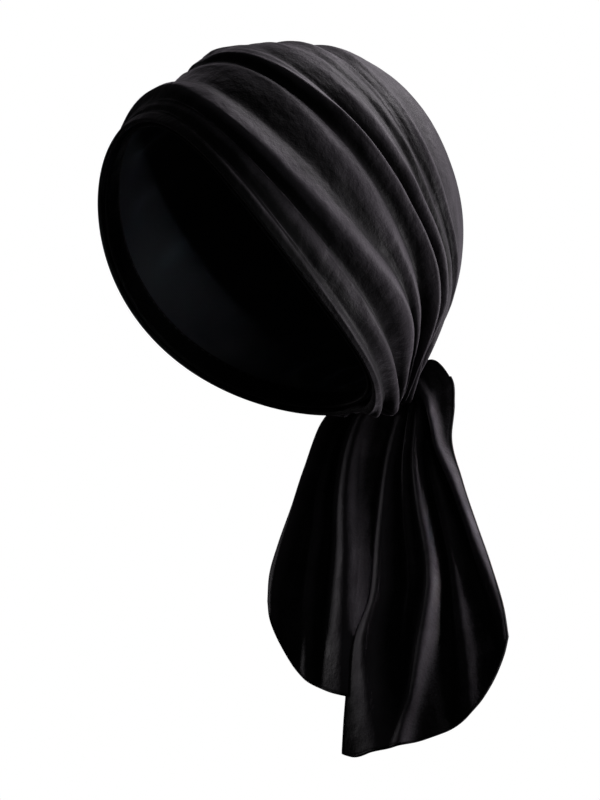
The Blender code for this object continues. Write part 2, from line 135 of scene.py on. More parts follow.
# The lines of the folded cap from the rim to the back, each a crest or the valley behind it: its rise at
# the stations in thousandths, its height there in hundredths of FOLD_HEIGHT, and how sharp it is
FOLD_HEIGHT = 0.006
FOLD_SINK = 0.0032
FOLD_END = 0.25
Line = namedtuple("Line", "name rise height sharp")
LINES = (
    Line("rim", (0, 0, 0, 0, 0, 0), (0, 0, 0, 0, 0, 0), 0.3),
    Line("brow crest", (14, 14, 13, 11, 14, 24), (5, 15, 25, 30, 35, 30), 0.0),
    Line("brow valley", (22, 23, 26, 30, 38, 60), (5, 8, 10, 10, 10, 5), 0.6),
    Line("pleat crest", (34, 43, 58, 77, 100, 120), (20, 35, 50, 55, 50, 60), 0.0),
    Line("pleat valley", (46, 52, 74, 105, 130, 155), (25, 30, 30, 20, 15, 5), 0.3),
    Line("roll crest", (75, 69, 110, 187, 195, 178), (50, 100, 100, 90, 60, 45), 0.0),
    Line("roll valley", (100, 110, 158, 212, 208, 188), (0, 20, 55, 60, 35, 30), 0.3),
    Line("middle crest", (135, 170, 213, 237, 220, 196), (10, 50, 80, 80, 55, 42), 0.0),
    Line("middle valley", (158, 195, 250, 285, 232, 204), (0, 20, 55, 35, 20, 30), 0.0),
    Line("crisp crest", (172, 212, 290, 328, 250, 214), (35, 85, 105, 100, 75, 50), 0.3),
    Line("crisp valley", (195, 237, 315, 362, 265, 224), (55, 40, 10, 0, 5, 15), 0.6),
    Line("third crest", (240, 275, 345, 400, 290, 262), (20, 60, 75, 80, 65, 65), 0.0),
    Line("third valley", (285, 310, 385, 450, 325, 300), (15, 40, 25, 10, 5, 10), 0.4),
    Line("lower crest", (310, 345, 415, 520, 390, 330), (30, 30, 35, 55, 60, 45), 0.0),
    Line("lower valley", (335, 365, 432, 560, 440, 370), (5, 20, 35, 15, 10, 10), 0.2),
    Line("fourth crest", (370, 395, 462, 600, 530, 440), (20, 40, 65, 40, 30, 30), 0.0),
    Line("fourth valley", (430, 445, 505, 650, 600, 520), (40, 35, 30, 20, 15, 10), 0.0),
    Line("fifth crest", (490, 500, 550, 700, 680, 620), (40, 40, 40, 20, 15, 20), 0.0),
    Line("back", (620, 620, 640, 770, 770, 750), (15, 15, 15, 10, 10, 10), 0.0),
    Line("top of the gather", (1000, 1000, 1000, 1000, 1000, 1000), (10, 10, 10, 10, 10, 10), 0.0),
)

# The folds are deeper than those of the CAD solid: the height in shares of FOLD_HEIGHT that stays as it
# is, how low a valley may go, and how much deeper they are near the gather, at a place and with a spread
# in shares of half a loop
MIDDLE_SHARE = 0.42
FOLD_FLOOR = 0.0013
GATHER_DEEPER = 1.5
GATHER_PLACE = 0.18
GATHER_SPREAD = 0.20

# Behind this line the folds flatten into the smooth back, over so many lines, and their wrinkles and
# the painted highlight on their crests fade over fewer; the inner side follows a share of the folds
SMOOTH_LINE = 14
SMOOTH_LINES = 4
FADE_LINES = 3
INNER_FOLLOW = 0.4

# The fine wrinkles along the folds: shares and fineness of the broad and the narrow ones, what is left of
# them on the back, and how far they change round the cap
WRINKLE_TURN = 0.8
BROAD_SHARE, BROAD_FINENESS = 0.7, 0.55
NARROW_SHARE, NARROW_FINENESS = 0.4, 1.5
BACK_WRINKLE = 0.2

# The painted light in the velvet's colour, from painted shade at 0 to painted highlight at 1: low on a
# fold, where each fold's height adds more, then on the back, on the inner side and between the folds of a
# tail
PAINTED_LIGHT_BASE = 0.15
BACK_PAINTED_LIGHT = 0.55
INNER_PAINTED_LIGHT = 0.1
TAIL_PAINTED_LIGHT = 0.3

# Each soft crease of the lining: the share of the way round from the nape, its rise, height, widths
CREASE_HEIGHT = 0.0045
Crease = namedtuple("Crease", "around rise height width_around width_rise")
CREASES = (
    Crease(-0.06, 0.20, 0.5, 0.018, 0.16),
    Crease(-0.13, 0.30, 0.7, 0.020, 0.20),
    Crease(-0.20, 0.16, 1.0, 0.024, 0.16),
    Crease(-0.28, 0.36, 0.8, 0.018, 0.22),
    Crease(-0.36, 0.24, 1.2, 0.024, 0.18),
    Crease(-0.46, 0.40, 0.8, 0.022, 0.24),
    Crease(-0.58, 0.20, 0.9, 0.030, 0.20),
    Crease(-0.70, 0.30, 0.7, 0.022, 0.22),
    Crease(-0.82, 0.16, 0.8, 0.020, 0.16),
    Crease(0.16, 0.22, 0.6, 0.025, 0.20),
    Crease(0.30, 0.25, 0.8, 0.030, 0.25),
    Crease(0.62, 0.20, 0.6, 0.040, 0.20),
)

# The free edge of a tail from its tip to its outer corner: the place across the tail, and the shares of
# the way from the tip to the corner, sideways, and from the corner down to the tip
TAIL_EDGE_ACROSS = (0, 0.06, 0.17, 0.31, 0.45, 0.59, 0.69, 0.79, 0.88, 0.94, 1)
TAIL_EDGE_SIDE = (0, 0.07, 0.20, 0.36, 0.52, 0.68, 0.78, 0.87, 0.94, 0.98, 1)
TAIL_EDGE_DROP = (1, 1.03, 1.00, 0.96, 0.90, 0.80, 0.68, 0.50, 0.31, 0.15, 0)

# The sections of each tail, from the knot down to its free corners: the share of the way down, then its
# inner and its outer edge, sideways as a share of TAIL_WIDTH and below the knot as a share of its length
Section = namedtuple("Section", "down inner_side inner_drop outer_side outer_drop")
LEFT_SECTIONS = (
    Section(0.00, -0.03, 0.000, 0.10, -0.060),
    Section(0.06, 0.04, 0.030, 0.27, -0.085),
    Section(0.12, 0.01, 0.080, 0.38, -0.032),
    Section(0.20, -0.04, 0.143, 0.40, 0.042),
    Section(0.30, -0.08, 0.228, 0.38, 0.138),
    Section(0.45, -0.13, 0.400, 0.45, 0.260),
    Section(0.60, -0.16, 0.565, 0.55, 0.393),
    Section(0.75, -0.28, 0.694, 0.64, 0.507),
    Section(0.90, -0.34, 0.876, 0.71, 0.619),
    Section(1.00, -0.36, 0.987, 0.73, 0.694),
)
RIGHT_SECTIONS = (
    Section(0.00, -0.06, 0.000, 0.08, -0.045),
    Section(0.06, -0.07, 0.010, 0.15, -0.040),
    Section(0.12, -0.02, 0.040, 0.30, -0.021),
    Section(0.20, 0.01, 0.120, 0.45, 0.013),
    Section(0.30, 0.03, 0.240, 0.56, 0.066),
    Section(0.45, 0.05, 0.390, 0.68, 0.215),
    Section(0.60, 0.07, 0.540, 0.77, 0.340),
    Section(0.75, 0.09, 0.700, 0.87, 0.473),
    Section(0.90, 0.10, 0.880, 0.93, 0.579),
    Section(1.00, 0.11, 1.000, 0.94, 0.659),
)

# Each fold that fans down a tail: its place across, and its height as a share of FAN_HEIGHT, at the knot,
# at a third and two thirds of the way down and at the free edge, and its width across
FAN_DOWN = (0.0, 0.35, 0.70, 1.0)
FAN_HEIGHT = 0.005
Fan = namedtuple("Fan", "across height width")
LEFT_FANS = (
    Fan((0.20, 0.13, 0.10, 0.20), (0.0, 0.9, 1.7, 0.7), 0.080),
    Fan((0.30, 0.27, 0.29, 0.42), (0.0, -0.3, -0.6, -0.2), 0.075),
    Fan((0.36, 0.37, 0.36, 0.34), (0.3, 0.4, 0.2, 0.0), 0.025),
    Fan((0.50, 0.53, 0.52, 0.34), (0.2, 0.7, 1.2, 0.8), 0.05),
    Fan((0.60, 0.62, 0.62, 0.58), (0.0, -0.4, -0.7, -0.2), 0.05),
    Fan((0.72, 0.72, 0.70, 0.70), (0.0, 0.3, 0.6, 0.3), 0.045),
    Fan((0.34, 0.77, 0.86, 0.92), (-0.6, -0.9, -0.5, 0.0), 0.045),
    Fan((0.46, 0.88, 0.95, 1.00), (0.9, 1.0, 0.8, 0.0), 0.055),
)
RIGHT_FANS = (
    Fan((0.62, 0.50, 0.33, 0.30), (0.2, 1.3, 1.4, 0.7), 0.10),
    Fan((0.80, 0.70, 0.52, 0.50), (0.0, -0.5, -0.6, -0.2), 0.06),
    Fan((0.74, 0.76, 0.64, 0.60), (0.0, 0.3, 0.5, 0.2), 0.04),
    Fan((0.96, 0.95, 0.93, 0.92), (0.3, 0.9, 0.7, 0.2), 0.05),
    Fan((0.14, 0.12, 0.10, 0.10), (0.0, 0.4, 0.5, 0.2), 0.06),
)
FAN_START = 0.2
TAIL_WAVE = 0.0020
TAIL_WAVE_COUNT = 1.5

# The share of the way down over which a tail's bow starts and its sides turn into the free edge, how
# late the edge drops, and where the hem starts
BOW_START = 0.15
EDGE_START = 0.6
EDGE_POWER = 1.5
HEM_START = 0.12

# Each tail: its side of the wearer, its length, how its width is turned from +X toward +Y, how far it
# stands behind the middle of the knot, how far it bows to its front, and its shape
Tail = namedtuple("Tail", "name side length turn set_back bow sections fans")
TAILS = (
    Tail("tail_left", 1, TAIL_LEFT_LENGTH, TAIL_LEFT_TURN, -0.003, 0.005, LEFT_SECTIONS, LEFT_FANS),
    Tail("tail_right", -1, TAIL_RIGHT_LENGTH, TAIL_RIGHT_TURN, 0.007, 0.003, RIGHT_SECTIONS, RIGHT_FANS),
)

# How finely the pieces are divided; a crowding above 1 draws the columns toward the nape and the rows
# toward their start
CROWN_COLUMNS = 300
NAPE_CROWDING = 1.4
FOLD_STEPS = 8
BACK_STEPS = 36
INNER_EVERY = 4
LINING_COLUMNS = 220
LINING_ROWS = 90
LINING_CROWDING = 1.3
BAND_COLUMNS = 300
BAND_ROWS = 8
KNOT_SEGMENTS = 144
KNOT_RINGS = 96
TAIL_COLUMNS = 130
TAIL_ROWS = 150
TAIL_CROWDING = 1.1
HEM_SIDE_STEPS = 160
HEM_END_STEPS = 140
HEM_SIDES = 8
STITCH_COLUMNS = 400
SEED = 11

# The velvet: the scales of its brushed nap, crushed patches and pile, their shares and that of the painted
# highlight on the crests in its colour, and their heights
NAP_SCALE = (28.0, 28.0, 150.0)
CRUSHED_SCALE = 70.0
PILE_SCALE = 1100.0
PAINTED_LIGHT_SHARE, BRUSHED_SHARE, PILE_SHARE, DARK_SHARE = 0.8, 0.32, 0.22, 0.47
NAP_HEIGHT, CRUSHED_HEIGHT, PILE_HEIGHT = 0.0004, 0.0022, 0.00018

# The hem band and the rolled hems are shaded copies of the cap's velvet, a share of its colours and its
# sheen: painted shade, deep on the band inside the rim and slight on the hems. Then the dark side of the
# lining and of the thread
BAND_PAINTED_SHADE = 0.35
HEM_PAINTED_SHADE = 0.9
LINING_DARK = 0.45
THREAD_DARK = 0.5
THREAD_COLOR = (0.02, 0.02, 0.022)

# The camera's place: azimuth and elevation round the origin and its distance; then its focal length and
# the shifts of the picture's middle, in pixels of the 600 x 800 frame
CAMERA_AZIMUTH = math.radians(57.4)
CAMERA_ELEVATION = math.radians(-13.5)
CAMERA_DISTANCE = 1.5
CAMERA_FOCAL = 2810.0
CAMERA_AIM = (56.0, -130.0)
FRAME_HEIGHT = 800.0

# The stage's floor, a wide disc that glows a little, and the light that the white world casts
FLOOR_RADIUS = 60.0
FLOOR_SIDES = 64
FLOOR_GREYS = (0.34, 0.36)
FLOOR_GLOW = 0.82
WORLD_LIGHT = 0.02

# Each light, named after the setting that holds its power: how far it stands to the right of the
# object's middle, above it and toward the camera, the point that it faces, its size, the spread of its
# beam in degrees and its colour
MIDDLE = Vector((0, 0, -0.03))
HANGING_CLOTH = Vector((0.03, 0.12, -0.19))
HOLLOW_WALL = Vector((-0.05, -0.03, 0.01))
ROSY = (1, 0.96, 1)
COOL = (0.95, 0.97, 1)
Light = namedtuple("Light", "name place target size spread color")
LIGHTS = (
    Light("key", (1.45, -0.15, 0.0), MIDDLE, 0.8, 180, ROSY),
    Light("rim", (0.9, 1.1, -0.7), MIDDLE, 0.8, 180, ROSY),
    Light("fill", (0.3, 1.0, 1.1), MIDDLE, 0.8, 180, COOL),
    Light("tails", (1.15, 0.0, 0.55), HANGING_CLOTH, 0.12, 14, ROSY),
    Light("left", (-0.9, -0.1, -0.6), HANGING_CLOTH, 0.12, 14, ROSY),
    Light("hollow", (0.4, 0.0, 1.2), HOLLOW_WALL, 0.05, 8, COOL),
)


# Shapes

def curve_through(places, values, at):
    """Return the smooth curve through a row of values, read at the given places."""
    places = np.asarray(places, float)
    values = np.asarray(values, float)
    slopes = np.gradient(values, places)
    at = np.clip(at, places[0], places[-1])
    left = np.clip(np.searchsorted(places, at, side="right") - 1, 0, len(places) - 2)
    step = places[left + 1] - places[left]
    t = (at - places[left]) / step
    start = values[left] * (2 * t**3 - 3 * t**2 + 1) + slopes[left] * step * (t**3 - 2 * t**2 + t)
    end = values[left + 1] * (3 * t**2 - 2 * t**3) + slopes[left + 1] * step * (t**3 - t**2)
    return start + end


def ease(share):
    """Return a soft step from 0 to 1."""
    share = np.clip(share, 0, 1)
    return share * share * (3 - 2 * share)


def ripples(u, v, seed, count=14):
    """Return a soft uneven field of unit size over two coordinates, the same for the same seed."""
    chance = np.random.default_rng(seed)
    total = np.zeros(np.broadcast(u, v).shape)
    for _ in range(count):
        along, across = chance.normal(0, 1, 2)
        total = total + np.cos(2 * math.pi * (along * u + across * v + chance.random()))
    return total / math.sqrt(count / 2)


def fold_rows(around, steps, back_steps):
    """Return the cap's rows along its fold lines: their rise, their height and their place in LINES."""
    back = 1 - np.abs(around)
    rises = [curve_through(STATIONS, np.array(line.rise) / 1000, back) for line in LINES]
    heights = [FOLD_HEIGHT * curve_through(STATIONS, np.array(line.height) / 100, back) for line in LINES]
    ends = 1 - (1 - FOLD_END) * ease((back - STATIONS[-1]) / (1 - STATIONS[-1]))
    row_rise = []
    row_height = []
    row_line = []
    for k in range(len(LINES) - 1):
        count = back_steps if k == len(LINES) - 2 else steps
        climb = heights[k + 1] - heights[k]
        for t in np.arange(count) / count:
            start = LINES[k].sharp * 2 * climb * (t**3 - 2 * t**2 + t)
            end = LINES[k + 1].sharp * 2 * climb * (t**3 - t**2)
            row_rise.append(rises[k] + (rises[k + 1] - rises[k]) * t)
            row_height.append(heights[k] + climb * (3 * t**2 - 2 * t**3) + start + end)
            row_line.append(k + t)
    return np.array(row_rise), np.array(row_height) * ends, np.array(row_line)[:, None]


def dome(around, rise):
    """Return points of the plain dome and its outward directions, in the cap's axes (X, P, Q).

    around runs from -1 to 1 with the nape at 0 and the forehead at both ends; +X is its positive side.
    """
    around, rise = np.broadcast_arrays(np.asarray(around, float), np.asarray(rise, float))
    half_width = CAP_WIDTH / 2
    half_length = CAP_LENGTH / 2
    height = CAP_DEPTH - WIDEST_RISE
    rim_angle = math.asin(WIDEST_RISE / height)
    low, high = LOOP_SOFT**LOOP_POWER, (1 + LOOP_SOFT) ** LOOP_POWER
    eased = ((rise + LOOP_SOFT) ** LOOP_POWER - low) / (high - low)
    nape = math.pi + rim_angle - GATHER_SPAN * eased
    front = -rim_angle + (math.pi + 2 * rim_angle - GATHER_SPAN) * rise
    middle_p = (np.cos(nape) + np.cos(front)) / 2
    middle_q = (np.sin(nape) + np.sin(front)) / 2
    reach_p = (np.cos(front) - np.cos(nape)) / 2
    reach_q = (np.sin(front) - np.sin(nape)) / 2
    radius = np.sqrt(np.clip(1 - middle_p**2 - middle_q**2, 0, None))
    turn = math.pi * (1 - np.abs(around))
    x = radius * np.sin(turn) * np.sign(around)
    p = middle_p + reach_p * np.cos(turn)
    q = middle_q + reach_q * np.cos(turn)
    outward = np.stack([x / half_width, p / half_length, q / height], -1)
    outward /= np.linalg.norm(outward, axis=-1, keepdims=True)
    dip = RIM_DIP * np.sin(turn) ** 2 * (1 - rise) ** 3
    points = np.stack([x * half_width, p * half_length, WIDEST_RISE + q * height - dip], -1)
    sink = FOLD_SINK * ease(rise / SINK_CLIMB) * (1 - ease((rise - SINK_TOP) / SINK_FADE))
    return points - outward * sink[..., None], outward


def gather_height(points, rise):
    """Return how far the pleat ends at the nape stand out of the plain dome."""
    side = np.abs(points[..., 0])
    spread = np.where(side < PLEAT_OFFSET, PLEAT_SPREAD, PLEAT_FLANK)
    ends = np.exp(-(((side - PLEAT_OFFSET) / spread) ** 2))
    behind = np.where(points[..., 1] < 0, 1.0, 0.0)
    fade = np.exp(-((np.clip(rise - PLEAT_TOP, 0, None) / PLEAT_FADE) ** 2))
    right = PLEAT_RIGHT_SHARE * ease((rise - PLEAT_RIGHT_START) / PLEAT_RIGHT_CLIMB)
    left = PLEAT_LEFT_SHARE + (1 - PLEAT_LEFT_SHARE) * ease(rise / PLEAT_LEFT_CLIMB)
    start = np.where(points[..., 0] < 0, right, left)
    return GATHER_RISE * ends * start * behind * fade


def to_world(points):
    """Turn points from the cap's axes (X, P, Q) to the world's."""
    x, p, q = points[..., 0], points[..., 1], points[..., 2]
    y = q * math.sin(CAP_TILT) - p * math.cos(CAP_TILT)
    z = q * math.cos(CAP_TILT) + p * math.sin(CAP_TILT)
    return np.stack([x, y, z], -1)


def columns(count):
    """Return places round a loop, closer together near the nape."""
    even = np.linspace(-1, 1, count, endpoint=False) + 1 / count
    return np.sign(even) * np.abs(even) ** NAPE_CROWDING


def loop_faces(rows, count, first=0, flip=False):
    """Return the faces between closed rows of points."""
    row, column = np.meshgrid(np.arange(rows - 1), np.arange(count), indexing="ij")
    low = first + row * count
    after = (column + 1) % count
    faces = np.stack([low + column, low + count + column, low + count + after, low + after], -1)
    faces = faces.reshape(-1, 4)
    return (faces[:, ::-1] if flip else faces).tolist()


def fan_faces(start, count, tip, flip=False):
    """Return the faces from a closed row of points to one point."""
    faces = []
    for column in range(count):
        face = (start + (column + 1) % count, start + column, tip)
        faces.append(face[::-1] if flip else face)
    return faces


def rise_at(around, length):
    """Return the rise that lies a given length above the rim, for each place round the cap."""
    samples = np.linspace(0, 0.6, 121)
    places, rise = np.meshgrid(around, samples)
    points, _ = dome(places, rise)
    steps = np.linalg.norm(np.diff(points, axis=0), axis=-1)
    lengths = np.concatenate([np.zeros((1, len(around))), np.cumsum(steps, axis=0)])
    return np.array([np.interp(length, lengths[:, k], samples) for k in range(len(around))])


def crease_height(around, rise):
    """Return how far the lining's soft creases stand into the cap."""
    total = np.zeros(np.broadcast(around, rise).shape)
    for crease in CREASES:
        across = (around - crease.around) / crease.width_around
        along = (rise - crease.rise) / crease.width_rise
        total = total + CREASE_HEIGHT * crease.height * np.exp(-(across**2) - along**2)
    return total


def knot_centre():
    """Return the middle of the knot in the cap's axes (X, P, Q)."""
    return np.array([0.0, -(CAP_LENGTH / 2 + GATHER_RISE + KNOT_DEPTH / 2 - KNOT_NEST), KNOT_RISE])


def fan_height(tail, across, down):
    """Return how far the folds that fan down a tail stand out of it, toward its front."""
    total = np.zeros(np.broadcast(across, down).shape)
    for fan in tail.fans:
        middle = curve_through(FAN_DOWN, fan.across, down)
        height = FAN_HEIGHT * curve_through(FAN_DOWN, fan.height, down)
        total = total + height * np.exp(-(((across - middle) / fan.width) ** 2))
    return total * ease(down / FAN_START)


def tail_points(tail, across, down):
    """Return the middle surface of a tail, a sheet that fans out of the knot."""
    root = to_world(knot_centre()) + np.array([0.0, tail.set_back, 0.0])
    stations = [section.down for section in tail.sections]
    inner_side = TAIL_WIDTH * curve_through(stations, [row.inner_side for row in tail.sections], down)
    inner_drop = tail.length * curve_through(stations, [row.inner_drop for row in tail.sections], down)
    outer_side = TAIL_WIDTH * curve_through(stations, [row.outer_side for row in tail.sections], down)
    outer_drop = tail.length * curve_through(stations, [row.outer_drop for row in tail.sections], down)
    edge_side = curve_through(TAIL_EDGE_ACROSS, TAIL_EDGE_SIDE, across)
    side_share = across + (edge_side - across) * ease(down / EDGE_START)
    edge_share = curve_through(TAIL_EDGE_ACROSS, TAIL_EDGE_DROP, across)
    drop_share = 1 - side_share + (edge_share - 1 + side_share) * down**EDGE_POWER
    out = inner_side + (outer_side - inner_side) * side_share
    drop = outer_drop + (inner_drop - outer_drop) * drop_share
    wave = TAIL_WAVE * np.cos(2 * math.pi * TAIL_WAVE_COUNT * across) * down
    bow = tail.bow * 4 * across * (1 - across) * ease(down / BOW_START)
    back = wave - fan_height(tail, across, down) - bow
    heading = tail.side * np.array([math.cos(tail.turn), math.sin(tail.turn), 0.0])
    facing = np.array([-math.sin(tail.turn), math.cos(tail.turn), 0.0])
    points = root + out[..., None] * heading + back[..., None] * facing
    points[..., 2] -= drop
    return points


def tail_edge(tail):
    """Return the free edge of a tail: down its inner side, round its end and up its outer side."""
    side = np.linspace(HEM_START, 1, HEM_SIDE_STEPS)
    end = np.linspace(0, 1, HEM_END_STEPS)
    inner = tail_points(tail, np.zeros(HEM_SIDE_STEPS), side)
    bottom = tail_points(tail, end, np.ones(HEM_END_STEPS))
    outer = tail_points(tail, np.ones(HEM_SIDE_STEPS), side[::-1])
    return np.concatenate([inner, bottom[1:], outer[1:]])


def on_crest(line):
    """Return how near a place in LINES is to a crest, from 0 in a valley to 1."""
    return 0.5 - 0.5 * np.cos(math.pi * line)


def lip_share(around, line):
    """Return how far the rounded ends of the folds stand out beside the knot, as a share."""
    share = np.interp(line, LIP_LINES, LIP_SHARES) * on_crest(line)
    return share * np.exp(-(((np.abs(around) - LIP_PLACE) / LIP_SPREAD) ** 2))


def wrinkles(around, line):
    """Return the fine uneven wrinkles along the folds, which meet at both ends of a loop."""
    fore, side = WRINKLE_TURN * np.cos(math.pi * around), WRINKLE_TURN * np.sin(math.pi * around)
    broad = ripples(fore, line * BROAD_FINENESS, SEED) + ripples(side, line * BROAD_FINENESS, SEED + 5)
    narrow = ripples(2 * fore, line * NARROW_FINENESS, SEED + 3)
    narrow = narrow + ripples(2 * side, line * NARROW_FINENESS, SEED + 6)
    fade = 1 - (1 - BACK_WRINKLE) * ease((line - SMOOTH_LINE) / FADE_LINES)
    return (BROAD_SHARE * broad + NARROW_SHARE * narrow) * ease(line / 2) * fade


def cap_layer(around, rows, follow, depth, cap):
    """Return one side of the cap, its top point last; it follows a share of the folds at a depth."""
    rise, height, line = rows
    points, outward = dome(np.broadcast_to(around, rise.shape), rise)
    near_gather = np.exp(-(((np.abs(around) - GATHER_PLACE) / GATHER_SPREAD) ** 2))
    deeper = cap.deeper * (1 + GATHER_DEEPER * near_gather) * (height - MIDDLE_SHARE * FOLD_HEIGHT)
    shape = height + deeper * ease(line / 2) * (1 - ease((line - SMOOTH_LINE) / SMOOTH_LINES))
    shape = np.where(shape < 0, FOLD_FLOOR * np.tanh(shape / FOLD_FLOOR), shape)
    shape = shape + cap.wrinkle * wrinkles(around, line) + cap.lip * lip_share(around, line)
    out = follow * (shape + gather_height(points, rise)) - depth
    grid = to_world(points + outward * out[..., None])
    tip, tip_out = dome(np.array([1.0]), np.array([1.0]))
    tip_height = follow * FOLD_HEIGHT * LINES[-1].height[0] / 100 - depth
    return np.concatenate([grid.reshape(-1, 3), to_world(tip + tip_out * tip_height)])


# Objects

def add_object(name, vertices, faces, material=None, values=None):
    """Return a new smooth mesh object; values are named numbers for each vertex."""
    mesh = bpy.data.meshes.new(name)
    mesh.from_pydata(np.asarray(vertices, float).tolist(), [], faces)
    mesh.shade_smooth()
    for key, numbers in (values or {}).items():
        numbers = np.asarray(numbers, np.float32)
        if numbers.shape[-1] == 3:
            mesh.attributes.new(key, "FLOAT_VECTOR", "POINT").data.foreach_set("vector", numbers.ravel())
        else:
            mesh.attributes.new(key, "FLOAT", "POINT").data.foreach_set("value", numbers.ravel())
    item = bpy.data.objects.new(name, mesh)
    bpy.context.scene.collection.objects.link(item)
    if material:
        mesh.materials.append(material)
    return item


def make_plain(item):
    """Return the finished mesh of an object as a new object, and remove the old one."""
    bpy.context.view_layer.update()
    mesh = bpy.data.meshes.new_from_object(item.evaluated_get(bpy.context.evaluated_depsgraph_get()))
    mesh.name = name = item.name
    bpy.data.objects.remove(item, do_unlink=True)
    plain = bpy.data.objects.new(name, mesh)
    bpy.context.scene.collection.objects.link(plain)
    return plain


def finish_piece(piece, node):
    """Make a piece ride on the object; node is the CAD node that it replaces, if any."""
    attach(piece, "root")
    if node:
        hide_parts(node)


def wall(item, thickness, offset=-1):
    """Give an open sheet its thickness and keep it as a plain mesh."""
    shell = item.modifiers.new("Wall", "SOLIDIFY")
    shell.thickness = thickness
    shell.offset = offset
    shell.use_even_offset = True
    shell.use_quality_normals = True
    return make_plain(item)


# Materials

class Wire:
    """A socket of a node tree that is used in expressions: an operator on values adds its Math node."""

    def __init__(self, tree, socket=None):
        self.tree = tree
        self.socket = socket

    def add(self, kind, settings=None, inputs=None, output=0):
        """Add a node, its settings first and then its sockets' values or links, and return an output."""
        node = self.tree.nodes.new(kind)
        for name, setting in (settings or {}).items():
            setattr(node, name, setting)
        for name, value in (inputs or {}).items():
            socket = node.inputs[name]
            if isinstance(value, Wire):
                self.tree.links.new(value.socket, socket)
            else:
                socket.default_value = value
        return Wire(self.tree, node.outputs[output])

    def math(self, operation, first, second):
        """Add a Math node."""
        return self.add("ShaderNodeMath", {"operation": operation}, {0: first, 1: second})

    def __add__(self, other):
        return self.math("ADD", self, other)

    __radd__ = __add__

    def __sub__(self, other):
        return self.math("SUBTRACT", self, other)

    def __rsub__(self, other):
        return self.math("SUBTRACT", other, self)

    def __mul__(self, other):
        return self.math("MULTIPLY", self, other)

    __rmul__ = __mul__

    def clamp(self):
        """Return the value kept between 0 and 1."""
        return self.add("ShaderNodeClamp", {}, {0: self})


def new_material(name):
    """Return a material, its shader node and a wire to build with."""
    material = bpy.data.materials.new(name)
    material.use_nodes = True
    tree = material.node_tree
    return material, tree.nodes["Principled BSDF"], Wire(tree)


def link(wire, socket):
    """Link a wire to a socket."""
    wire.tree.links.new(wire.socket, socket)


def texture_place(wire):
    """Return the object's own coordinates."""
    return wire.add("ShaderNodeTexCoord", {}, {}, "Object")


def noise(place, scale, detail):
    """Return uneven patches, from 0 to 1."""
    return place.add("ShaderNodeTexNoise", {}, {"Vector": place, "Scale": scale, "Detail": detail}, "Fac")


def blend(factor, dark, light):
    """Return the colour between a dark one and a light one."""
    inputs = {0: factor, 6: (*dark, 1), 7: (*light, 1)}
    return factor.add("ShaderNodeMix", {"data_type": "RGBA"}, inputs, 2)


def raise_surface(shader, height, strength):
    """Let a height in metres show on the surface."""
    inputs = {"Height": height, "Strength": strength, "Distance": 1.0}
    link(height.add("ShaderNodeBump", {}, inputs, "Normal"), shader.inputs["Normal"])


def velvet(name, look, painted_shade=1.0):
    """Return a dark pile cloth that is brushed along its folds, with painted highlight on their crests and
    painted shade in their valleys.

    The attribute nap holds a place on the cloth, its last number across the folds, and crest how high it
    stands on a fold, which sets its painted light. A piece without crests stays at the dark end.
    """
    material, shader, wire = new_material(name)
    place = texture_place(wire)
    nap = wire.add("ShaderNodeAttribute", {"attribute_name": "nap"}, {}, "Vector")
    crest = wire.add("ShaderNodeAttribute", {"attribute_name": "crest"}, {}, "Fac")
    streaks = noise(wire.add("ShaderNodeMapping", {}, {"Vector": nap, "Scale": NAP_SCALE}), 1.0, 3.0)
    crushed = noise(place, CRUSHED_SCALE, 4.0)
    pile = noise(place, PILE_SCALE, 2.0)
    brushed = streaks * 0.7 + crushed - 0.35
    # crest brings painted highlight on the crests and painted shade in the valleys; brushed and pile are
    # the cloth's own random tone
    mixed = crest * PAINTED_LIGHT_SHARE + brushed * BRUSHED_SHARE + pile * PILE_SHARE - DARK_SHARE
    # The last argument scales the colours and the sheen: below 1 it makes a shaded copy of the velvet,
    # painted shade for the hem band and the rolled hems
    dark = [painted_shade * c for c in look.dark]
    light = [painted_shade * c for c in look.light]
    link(blend(mixed.clamp(), dark, light), shader.inputs["Base Color"])
    link((0.62 - brushed * 0.2 + pile * 0.1).clamp(), shader.inputs["Roughness"])
    raise_surface(shader, pile * PILE_HEIGHT + crushed * CRUSHED_HEIGHT + streaks * NAP_HEIGHT, 0.8)
    shader.inputs["Specular IOR Level"].default_value = 0.12
    shader.inputs["Sheen Weight"].default_value = look.sheen * painted_shade
    shader.inputs["Sheen Roughness"].default_value = 0.40
    shader.inputs["Sheen Tint"].default_value = (*look.tint, 1)
    return material


def lining_cloth(name, color):
    """Return a thin smooth lining with a fine twill."""
    material, shader, wire = new_material(name)
    place = texture_place(wire)
    patches = noise(place, 40.0, 3.0)
    threads = wire.add(
        "ShaderNodeTexWave", {"bands_direction": "DIAGONAL"},
        {"Vector": place, "Scale": 420.0, "Distortion": 1.0, "Detail": 1.0}, "Fac",
    )
    mixed = (patches * 0.9 + threads * 0.25 - 0.15).clamp()
    link(blend(mixed, [LINING_DARK * c for c in color], color), shader.inputs["Base Color"])
    link(0.5 + patches * 0.15, shader.inputs["Roughness"])
    raise_surface(shader, threads * 0.00008 + patches * 0.0004, 0.6)
    shader.inputs["Specular IOR Level"].default_value = 0.3
    shader.inputs["Sheen Weight"].default_value = 0.3
    shader.inputs["Sheen Tint"].default_value = (0.7, 0.8, 1.0, 1)
    return material


def thread(name, color):
    """Return a twisted sewing thread."""
    material, shader, wire = new_material(name)
    inputs = {"Vector": texture_place(wire), "Scale": 900.0, "Distortion": 2.0}
    twist = wire.add("ShaderNodeTexWave", {}, inputs, "Fac")
    link(blend(twist, [THREAD_DARK * c for c in color], color), shader.inputs["Base Color"])
    link(0.55 + twist * 0.15, shader.inputs["Roughness"])
    return material


